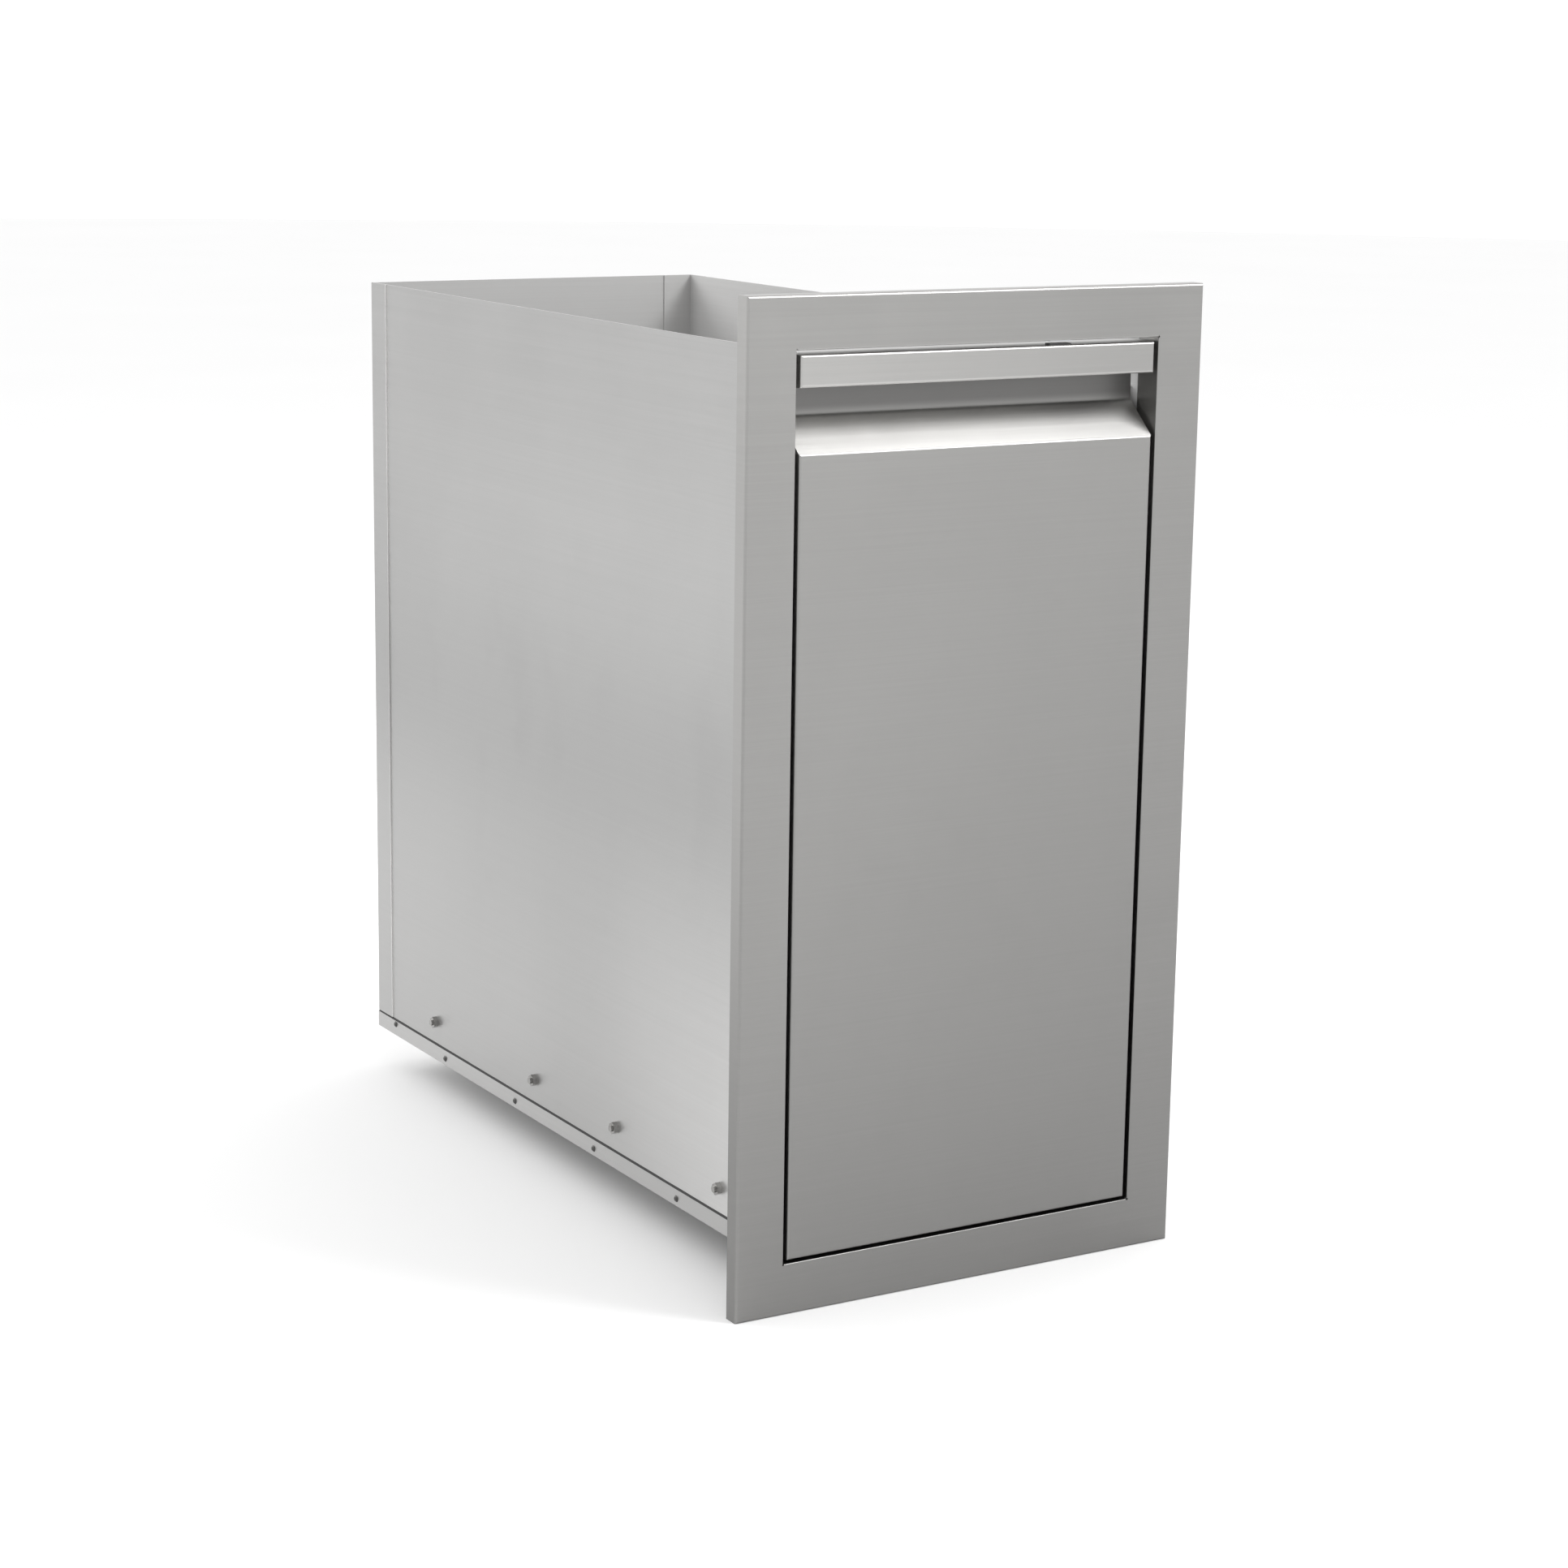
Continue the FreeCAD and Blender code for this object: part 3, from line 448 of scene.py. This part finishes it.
# %% Rings for the bin
def rounded_ring(half_x, half_y, corner, side_steps=22, end_steps=12, corner_steps=7):
    """Points round a rectangle with round corners, each with its own outward direction."""
    ring = []
    quarters = [(1, 1, 0), (-1, 1, 90), (-1, -1, 180), (1, -1, 270)]
    for index, (sign_x, sign_y, start) in enumerate(quarters):
        middle = Vector((sign_x * (half_x - corner), sign_y * (half_y - corner)))
        for step in range(corner_steps + 1):
            angle = math.radians(start + 90 * step / corner_steps)
            outward = Vector((math.cos(angle), math.sin(angle)))
            ring.append((middle + corner * outward, outward))
        straight = end_steps if index % 2 == 0 else side_steps
        turned = quarters[(index + 1) % 4]
        ahead = Vector((turned[0] * (half_x - corner), turned[1] * (half_y - corner)))
        first, last = middle + corner * outward, ahead + corner * outward
        for step in range(1, straight):
            ring.append((first.lerp(last, step / straight), outward))
    return ring


def new_piece(name, mesh):
    """Turns a finished bmesh into an object in the scene."""
    made = bpy.data.meshes.new(name)
    mesh.to_mesh(made)
    mesh.free()
    piece = bpy.data.objects.new(name, made)
    bpy.context.scene.collection.objects.link(piece)
    return piece


def skin_of_rings(name, rings, middle):
    """A closed mesh through a list of rings with equal counts. Each ring is a list of (x, y, z)."""
    mesh = bmesh.new()
    rows = [[mesh.verts.new(Vector(point) + middle) for point in ring] for ring in rings]
    for low, high in zip(rows, rows[1:]):
        count = len(low)
        for i in range(count):
            mesh.faces.new((low[i], low[(i + 1) % count], high[(i + 1) % count], high[i]))
    mesh.faces.new(rows[0])
    mesh.faces.new(list(reversed(rows[-1])))
    bmesh.ops.recalc_face_normals(mesh, faces=mesh.faces)
    piece = new_piece(name, mesh)
    for face in piece.data.polygons:
        face.use_smooth = True
    return piece


# %% Rings of the tub and of its rim
BIN_WALL, BIN_LIP, BIN_TAPER, BIN_CORNER = 0.0025, 0.007, 0.017, 0.034
BIN_SKIRT, BIN_FLOOR_RISE, SMALLEST_CORNER = 0.014, 0.003, 0.004
FLUTE_DEPTH, FLUTES, GRIP_DROP = 0.0016, 9, 0.018
FLAT_SIDE = 0.999
bin_low, bin_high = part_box("trash_bin")
bin_size = bin_high - bin_low
tub_x, tub_y = bin_size.x / 2 - BIN_LIP, bin_size.y / 2 - BIN_LIP
bin_h = bin_size.z


def smooth_step(low, high, value):
    share = min(1.0, max(0.0, (value - low) / (high - low)))
    return share * share * (3 - 2 * share)


def tub_ring(z, inset, fluted=0.0):
    """One ring of the tub's wall: the taper comes from its height, the flutes from where it is."""
    shrink = inset + BIN_TAPER * (1 - z / bin_h)
    corner = max(SMALLEST_CORNER, BIN_CORNER - inset)
    ring = []
    for point, outward in rounded_ring(tub_x - shrink, tub_y - shrink, corner):
        depth = 0.0
        if abs(outward.x) > FLAT_SIDE:
            from_middle = point.y / (tub_y - BIN_CORNER - BIN_TAPER)
            wave = 0.5 + 0.5 * math.cos(math.pi * FLUTES * from_middle)
            ends_off = 1 - smooth_step(0.86, 0.97, abs(from_middle))
            depth = FLUTE_DEPTH * fluted * smooth_step(0.35, 0.65, wave) * ends_off
        ring.append((point.x - depth * outward.x, point.y - depth * outward.y, z))
    return ring


def rim_ring(z, inset, grip=0.0):
    """One ring of the rim. The skirt reaches lower in the middle of the short sides, as a grip."""
    ring = []
    half_x, half_y, corner = bin_size.x / 2 - inset, bin_size.y / 2 - inset, BIN_CORNER + BIN_LIP - inset
    for point, outward in rounded_ring(half_x, half_y, corner):
        drop = grip * abs(outward.y) ** 8 * (1 - smooth_step(0.042, 0.06, abs(point.x)))
        ring.append((point.x, point.y, z - drop))
    return ring


# %% Build the bin
floor_z = BIN_WALL + BIN_FLOOR_RISE
skirt_z = bin_h - BIN_SKIRT
up_the_inside = [
    (floor_z + 0.0008, 0.075), (floor_z + 0.0004, 0.045), (floor_z, 0.019), (floor_z + 0.0007, 0.0125),
    (floor_z + 0.003, 0.007), (floor_z + 0.007, BIN_WALL + 0.0012), (floor_z + 0.012, BIN_WALL)]
up_the_inside += [(bin_h * share, BIN_WALL) for share in (0.1, 0.3, 0.5, 0.7, 0.9)]
up_the_inside += [
    (bin_h - 0.004, BIN_WALL), (bin_h - 0.0012, BIN_WALL - 0.0006),
    (bin_h - 0.0002, BIN_WALL - 0.0018), (bin_h, BIN_WALL - 0.0035)]
over_the_rim = [
    (bin_h, 0.0032, 0.0), (bin_h - 0.0004, 0.0015, 0.0), (bin_h - 0.0015, 0.0004, 0.0),
    (bin_h - 0.0032, 0.0, 0.0), (skirt_z + 0.0008, 0.0, GRIP_DROP), (skirt_z, 0.0006, GRIP_DROP),
    (skirt_z, 0.0018, GRIP_DROP), (skirt_z + 0.0008, 0.0024, GRIP_DROP), (bin_h - 0.0042, 0.0025, 0.0),
    (bin_h - 0.0026, 0.0036, 0.0)]
down_the_outside = [
    (bin_h - 0.0026, -0.001, 0.0), (bin_h - 0.0042, 0.0, 0.0), (bin_h - 0.05, 0.0, 0.0),
    (bin_h - 0.058, 0.0, 0.15), (bin_h - 0.07, 0.0, 0.9), (bin_h - 0.078, 0.0, 1.0)]
down_the_outside += [(bin_h * share, 0.0, 1.0) for share in (0.7, 0.5, 0.3, 0.14)]
down_the_outside += [
    (0.052, 0.0, 0.9), (0.042, 0.0, 0.15), (0.034, 0.0, 0.0), (0.012, 0.0, 0.0),
    (0.0055, 0.0008, 0.0), (0.0022, 0.003, 0.0), (0.0005, 0.0065, 0.0), (0.0, 0.011, 0.0),
    (0.0, 0.016, 0.0), (0.0004, 0.0175, 0.0), (0.0026, 0.0195, 0.0), (0.003, 0.022, 0.0),
    (0.003, 0.075, 0.0)]
rings = [tub_ring(z, inset) for z, inset in up_the_inside]
rings += [rim_ring(z, inset, grip) for z, inset, grip in over_the_rim]
rings += [tub_ring(z, inset, fluted) for z, inset, fluted in down_the_outside]
bin_middle = Vector(((bin_low.x + bin_high.x) / 2, (bin_low.y + bin_high.y) / 2, bin_low.z))
moulded_bin = skin_of_rings("moulded_bin", rings, bin_middle)
moulded_bin.data.materials.append(finishes["bin"])
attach(moulded_bin, "bin")
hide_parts("trash_bin")
print("bin:", len(rings), "rings,", len(moulded_bin.data.polygons), "faces")

# %% [markdown]
# ## Plastic parts of the slides
#
# A full-extension slide has two plastic parts that only show with the drawer out. A lever in each inner
# member is pressed to take the drawer off its slides, and a cap closes the rear end of each outer member
# and softens the end of the stroke. Both are flat mouldings with rounded edges, so each is an outline
# that is filled, given thickness and bevelled.


# %% A moulding from an outline
def flat_moulding(name, outline, thick, edge):
    """A plate in the YZ plane from (y, z) corners, thick along X and centred on x = 0, with soft edges."""
    mesh = bmesh.new()
    face = mesh.faces.new([mesh.verts.new((-thick / 2, y, z)) for y, z in outline])
    grown = bmesh.ops.extrude_face_region(mesh, geom=[face])["geom"]
    corners = [grown_part for grown_part in grown if isinstance(grown_part, bmesh.types.BMVert)]
    bmesh.ops.translate(mesh, vec=(thick, 0, 0), verts=corners)
    bmesh.ops.recalc_face_normals(mesh, faces=mesh.faces)
    bmesh.ops.bevel(
        mesh, geom=list(mesh.edges), offset=edge, segments=2, affect="EDGES", clamp_overlap=True)
    return new_piece(name, mesh)


# %% Levers and caps
LEVER_LENGTH, LEVER_HALF_H, LEVER_THICK, LEVER_EDGE = 0.070, 0.0040, 0.0016, 0.0003
LEVER_START, LEVER_SWAY, LEVER_STEPS, LEVER_NARROWS = 0.060, 0.0022, 16, 0.35
SLIDE_SHEET, LEVER_GAP = 0.0012, 0.0002
CAP_DEPTH, CAP_THICK, CAP_EDGE = 0.0035, 0.0105, 0.0006
CAP_GAP_Y, CAP_GAP_X, CAP_NARROWED, CAP_ROOT = 0.0004, 0.0003, 0.0025, 0.001
for side, sign in (("left", -1), ("right", 1)):
    low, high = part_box(side + "_inner_slide")
    web_x = low.x if sign > 0 else high.x
    middle_z = (low.z + high.z) / 2
    top, under = [], []
    for step in range(LEVER_STEPS + 1):
        share = step / LEVER_STEPS
        y = low.y + LEVER_START + LEVER_LENGTH * share
        z = middle_z + LEVER_SWAY * math.sin(2 * math.pi * step / LEVER_STEPS)
        half_h = LEVER_HALF_H * (1 - LEVER_NARROWS * share)
        top.append((y, z + half_h))
        under.append((y, z - half_h))
    lever = flat_moulding(side + "_release_lever", top + under[::-1], LEVER_THICK, LEVER_EDGE)
    lever.location.x = web_x + sign * (SLIDE_SHEET + LEVER_THICK / 2 + LEVER_GAP)
    lever.data.materials.append(finishes["black_plastic"])
    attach(lever, "drawer")

    low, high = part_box(side + "_outer_slide")
    wall_x = high.x if sign > 0 else low.x
    root_h, end_h = (high.z - low.z) / 2 - CAP_ROOT, (high.z - low.z) / 2 - CAP_NARROWED
    root_y, end_y = high.y + CAP_GAP_Y, high.y + CAP_DEPTH
    outline = [(root_y, middle_z - root_h), (end_y, middle_z - end_h),
               (end_y, middle_z + end_h), (root_y, middle_z + root_h)]
    cap = flat_moulding(side + "_slide_cap", outline, CAP_THICK, CAP_EDGE)
    cap.location.x = wall_x - sign * (CAP_THICK / 2 + CAP_GAP_X)
    cap.data.materials.append(finishes["black_plastic"])
    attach(cap, "housing")
    print(side, "lever at x", round(1000 * lever.matrix_world.translation.x, 1), "mm")

# %% [markdown]
# ## Painted shadow along the pan's lips
#
# The pan's turned-up lips stand outside the side panels, with a dark line along the corner above them.
# That line is the shade in the gap between lip and panel, and it is laid in as a painted shadow: a thin
# dark strip with a hollow section, built as one small section that is carried along the joint.


# %% Run the beads
BEAD_H, BEAD_W, BEAD_STEPS, BEAD_RIPPLE = 0.0015, 0.001, 40, 0.05
BEAD_END_GAP = 0.0004
lip_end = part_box("bottom_pan")[1]
panel_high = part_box("right_side_panel")[1]
section = [
    (0.0, 0.0), (BEAD_W, 0.0), (0.72 * BEAD_W, 0.3 * BEAD_H), (0.45 * BEAD_W, 0.62 * BEAD_H),
    (0.0, BEAD_H)]
for side, sign in (("left", -1), ("right", 1)):
    face_x, lip_z = sign * panel_high.x, lip_end.z
    rings = []
    for step in range(BEAD_STEPS + 1):
        y = BEAD_END_GAP + (lip_end.y - BEAD_END_GAP - BEAD_END_GAP) * step / BEAD_STEPS
        ripple = 1 + BEAD_RIPPLE * math.sin(2.6 * step) * math.sin(0.9 * step)
        rings.append([(face_x + sign * out * ripple, y, lip_z + rise * ripple) for out, rise in section])
    # Painted shadow: a dark strip where the gap between lip and panel lies in shade.
    bead = skin_of_rings(side + "_lip_shadow_strip", rings, Vector((0.0, 0.0, 0.0)))
    bead.data.materials.append(finishes["rubber"])
    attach(bead, "housing")
    print(side, "bead:", round(1000 * (lip_end.y - 2 * BEAD_END_GAP)), "mm long")

# %% [markdown]
# ## Floor and light
#
# Bare steel shows only what stands round it, so the light is the picture. A pale floor and a white room
# give the sheet its even grey. One wide soft box hangs above, for the sloping ledge and the rounded
# bends to catch, and a second stands behind on the left, which throws the drawer's soft shadow to the
# front, where the drawer's face reflects it.


# %% Floor
def pale_floor():
    """Matt white paper, with faint fibres."""
    paper = Finish("pale_floor")
    fibres = paper.noise((40.0, 40.0, 40.0), detail=4.0)
    mottle = paper.noise((1.5, 1.5, 1.5), detail=1.0)
    colour = paper.mixed(mottle, grey(0.89), grey(0.91))
    return paper.done(colour, fibres * 0.1 + 0.75, fibres * 0.00002)


FLOOR_RADIUS, FLOOR_CORNERS = 14.0, 96
paper_disc = bmesh.new()
bmesh.ops.create_circle(paper_disc, cap_ends=True, radius=FLOOR_RADIUS, segments=FLOOR_CORNERS)
floor = new_piece("floor", paper_disc)
floor.location.z = cad_low.z
floor.data.materials.append(pale_floor())
floor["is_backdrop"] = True
print("floor", 2 * FLOOR_RADIUS, "m across")


# %% Lights
def soft_box(name, place, target, width, height, radiance):
    """A rectangular light that faces its target. Radiance is how bright its surface is."""
    lamp = bpy.data.lights.new(name, "AREA")
    lamp.shape, lamp.size, lamp.size_y = "RECTANGLE", width, height
    lamp.energy = radiance * math.pi * width * height
    box = bpy.data.objects.new(name, lamp)
    box.location = place
    box.rotation_mode = "QUATERNION"
    box.rotation_quaternion = (Vector(target) - Vector(place)).to_track_quat("-Z", "Y")
    box.visible_camera = False
    bpy.context.scene.collection.objects.link(box)


ROOM_REAR, ROOM_FRONT = 1.15, 0.95
FRONT_BOX_PLACE, FRONT_BOX_TARGET = (1.3, -1.15, 2.35), (0.1, 0.0, 0.6)
REAR_BOX_PLACE = (-1.7, 2.6, 2.0)
middle = (cad_low + cad_high) / 2
soft_box("front_top_box", FRONT_BOX_PLACE, FRONT_BOX_TARGET, 1.2, 0.8, 14.0)
soft_box("rear_left_box", REAR_BOX_PLACE, middle, 1.7, 1.4, 5.0)
room = Network(bpy.data.worlds.new("white_room"), "Generated")
rearward = room.step(room.node("ShaderNodeSeparateXYZ", None, {0: room.place}, "Y"), -0.7, 0.3)
walls = room.mixed(rearward, grey(ROOM_FRONT), grey(ROOM_REAR))
glow = room.node("ShaderNodeBackground", None, {"Color": walls})
room.node("ShaderNodeOutputWorld", None, {"Surface": glow})
bpy.context.scene.world = room.owner
bpy.context.scene.view_settings.view_transform = "Standard"
print("two soft boxes in a room of", ROOM_FRONT, "to", ROOM_REAR)

# %% [markdown]
# ## Camera
#
# The drawer is seen from its left front, a little above its top, through a long lens that keeps its
# edges nearly parallel. The camera's three axes come from its angles: right and up are turned together
# for the slight roll, and the third looks back at the viewer.

# %% Camera
CAMERA_PLACE, LENS_MM, FILM_MM = Vector((-1.2785, -1.9182, 0.8527)), 78.93, 36.0
CAMERA_ROUND, CAMERA_ABOVE, CAMERA_ROLL = (math.radians(angle) for angle in (-30.658, 12.246, 0.846))
back = Vector((math.sin(CAMERA_ROUND) * math.cos(CAMERA_ABOVE),
               -math.cos(CAMERA_ROUND) * math.cos(CAMERA_ABOVE), math.sin(CAMERA_ABOVE)))
right = Vector((math.cos(CAMERA_ROUND), math.sin(CAMERA_ROUND), 0.0))
up = back.cross(right)
rolled_right = right * math.cos(CAMERA_ROLL) + up * math.sin(CAMERA_ROLL)
rolled_up = up * math.cos(CAMERA_ROLL) - right * math.sin(CAMERA_ROLL)
lens = bpy.data.cameras.new("camera")
lens.lens, lens.sensor_width = LENS_MM, FILM_MM
camera = bpy.data.objects.new("camera", lens)
camera.location = CAMERA_PLACE
camera.rotation_mode = "QUATERNION"
camera.rotation_quaternion = Matrix((rolled_right, rolled_up, back)).transposed().to_quaternion()
bpy.context.scene.collection.objects.link(camera)
bpy.context.scene.camera = camera
print("camera", round((CAMERA_PLACE - middle).length, 2), "m from the drawer's middle")

# %% [markdown]
# ## Compare the sizes
#
# The box of everything shown is measured again, and how far it has grown beyond the model's box is
# printed.

# %% Print how far the box has grown
seen_low, seen_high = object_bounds()
growth = (seen_high - seen_low) - (cad_high - cad_low)
print("grown by, in mm:", [round(1000 * value, 2) for value in growth])
